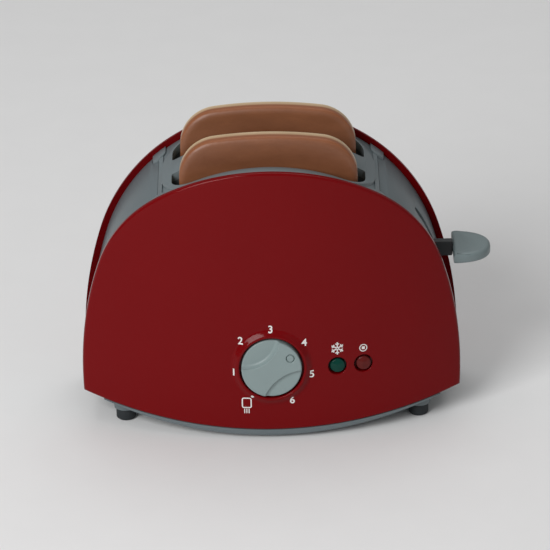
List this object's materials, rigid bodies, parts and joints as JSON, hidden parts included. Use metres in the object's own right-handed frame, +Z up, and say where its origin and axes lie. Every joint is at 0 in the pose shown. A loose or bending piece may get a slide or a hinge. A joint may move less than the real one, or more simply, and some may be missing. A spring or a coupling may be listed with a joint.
{
  "type": "toy toaster",
  "caption": "Toy toaster with arched red shells, grey body, spring-lifted carriage, loose toast slices, timer dial, push buttons and end lever.",
  "frame": {"origin": "on the table, under the middle of the whole toaster's bounding box, which the lever's paddle and the dial carry 7.9 mm to +X and 0.8 mm to -Y of the middle of the shells", "axes": "+X along the toaster towards the lever end, -Y towards the dial side, +Z up"},
  "size_m": [0.2062, 0.1009, 0.153],
  "materials": {
    "red_gloss": "glossy deep red moulded plastic",
    "grey_body": "satin blue-grey moulded plastic",
    "grey_knob": "satin light grey plastic",
    "dark_inner": "dark grey moulded plastic",
    "dark_rubber": "matt black",
    "steel": "plain steel",
    "white_plastic": "unfilled natural plastic",
    "toast": "brown toast-coloured plastic with cream crumb side",
    "green_button": "dark green translucent plastic",
    "red_button": "dull red translucent plastic"
  },
  "bodies": {
    "housing": {"front_shell": "red_gloss", "rear_shell": "red_gloss", "top_cover": "grey_body", "left_end_cover": "grey_body", "right_end_cover": "grey_body", "base_plate": "grey_body", "feet": "dark_rubber", "base_screws": "steel", "bread_well_front": "dark_inner", "bread_well_rear": "dark_inner", "guide_rod": "steel", "latch_pin": "steel", "timer_front_plate": "steel", "timer_rear_plate": "steel", "timer_pillars": "steel", "timer_screws": "steel", "mainspring": "steel", "button_guide": "dark_inner", "guide_screws": "steel", "lift_spring": "steel", "defrost_spring": "steel", "stop_spring": "steel"},
    "carriage": {"carriage": "dark_inner", "bread_rack_front": "dark_inner", "bread_rack_rear": "dark_inner", "lever_arm": "dark_inner", "lever_paddle": "grey_knob"},
    "front_slice": {"toast_slice_front": "toast"},
    "rear_slice": {"toast_slice_rear": "toast"},
    "dial": {"timer_knob": "grey_knob", "timer_spindle": "white_plastic", "drive_gear": "white_plastic", "release_cam": "white_plastic"},
    "second_gear": {"second_gear": "white_plastic"},
    "escape_wheel": {"escape_wheel": "white_plastic"},
    "pallet": {"pallet": "white_plastic"},
    "defrost_button": {"defrost_button": "green_button"},
    "stop_button": {"stop_button": "red_button"},
    "release_latch": {"release_latch": "dark_inner"}
  },
  "joints": [
    {"name": "lift", "type": "slide", "parent": "housing", "child": "carriage", "axis": [0, 0, 1], "range_m": [-0.042, 0], "stiffness_N_per_m": 120, "springref_m": 0.03, "deforming": ["lift_spring"]},
    {"name": "front_slice_lift", "type": "slide", "parent": "carriage", "child": "front_slice", "axis": [0, 0, 1], "range_m": [0, 0.09]},
    {"name": "rear_slice_lift", "type": "slide", "parent": "carriage", "child": "rear_slice", "axis": [0, 0, 1], "range_m": [0, 0.09]},
    {"name": "dial_turn", "type": "hinge", "parent": "housing", "child": "dial", "pos_m": [-0.00787, -0.04649, 0.039], "axis": [0, -0.9976, 0.0698], "range_deg": [-90.4, 203.6]},
    {"name": "second_gear_turn", "type": "hinge", "parent": "housing", "child": "second_gear", "pos_m": [-0.02537, -0.04649, 0.039], "axis": [0, -0.9976, 0.0698], "range_deg": [-820, 364]},
    {"name": "escape_turn", "type": "hinge", "parent": "housing", "child": "escape_wheel", "pos_m": [-0.02537, -0.04537, 0.05506], "axis": [0, -0.9976, 0.0698], "range_deg": [-1310, 2950]},
    {"name": "pallet_rock", "type": "hinge", "parent": "housing", "child": "pallet", "pos_m": [-0.03637, -0.04537, 0.05506], "axis": [0, -0.9976, 0.0698], "range_deg": [-2, 2]},
    {"name": "defrost_press", "type": "slide", "parent": "housing", "child": "defrost_button", "axis": [0, 0.9976, -0.0698], "range_m": [0, 0.002], "stiffness_N_per_m": 150, "springref_m": -0.002, "deforming": ["defrost_spring"]},
    {"name": "stop_press", "type": "slide", "parent": "housing", "child": "stop_button", "axis": [0, 0.9976, -0.0698], "range_m": [0, 0.002], "stiffness_N_per_m": 150, "springref_m": -0.002, "deforming": ["stop_spring"]},
    {"name": "latch_trip", "type": "hinge", "parent": "housing", "child": "release_latch", "pos_m": [-0.00787, -0.02936, 0.029], "axis": [-1, 0, 0], "range_deg": [-10, 0]}
  ],
  "couplings": [
    {"joint": "second_gear_turn", "follows": "dial_turn", "ratio": -4},
    {"joint": "escape_turn", "follows": "dial_turn", "ratio": 14.4}
  ]
}
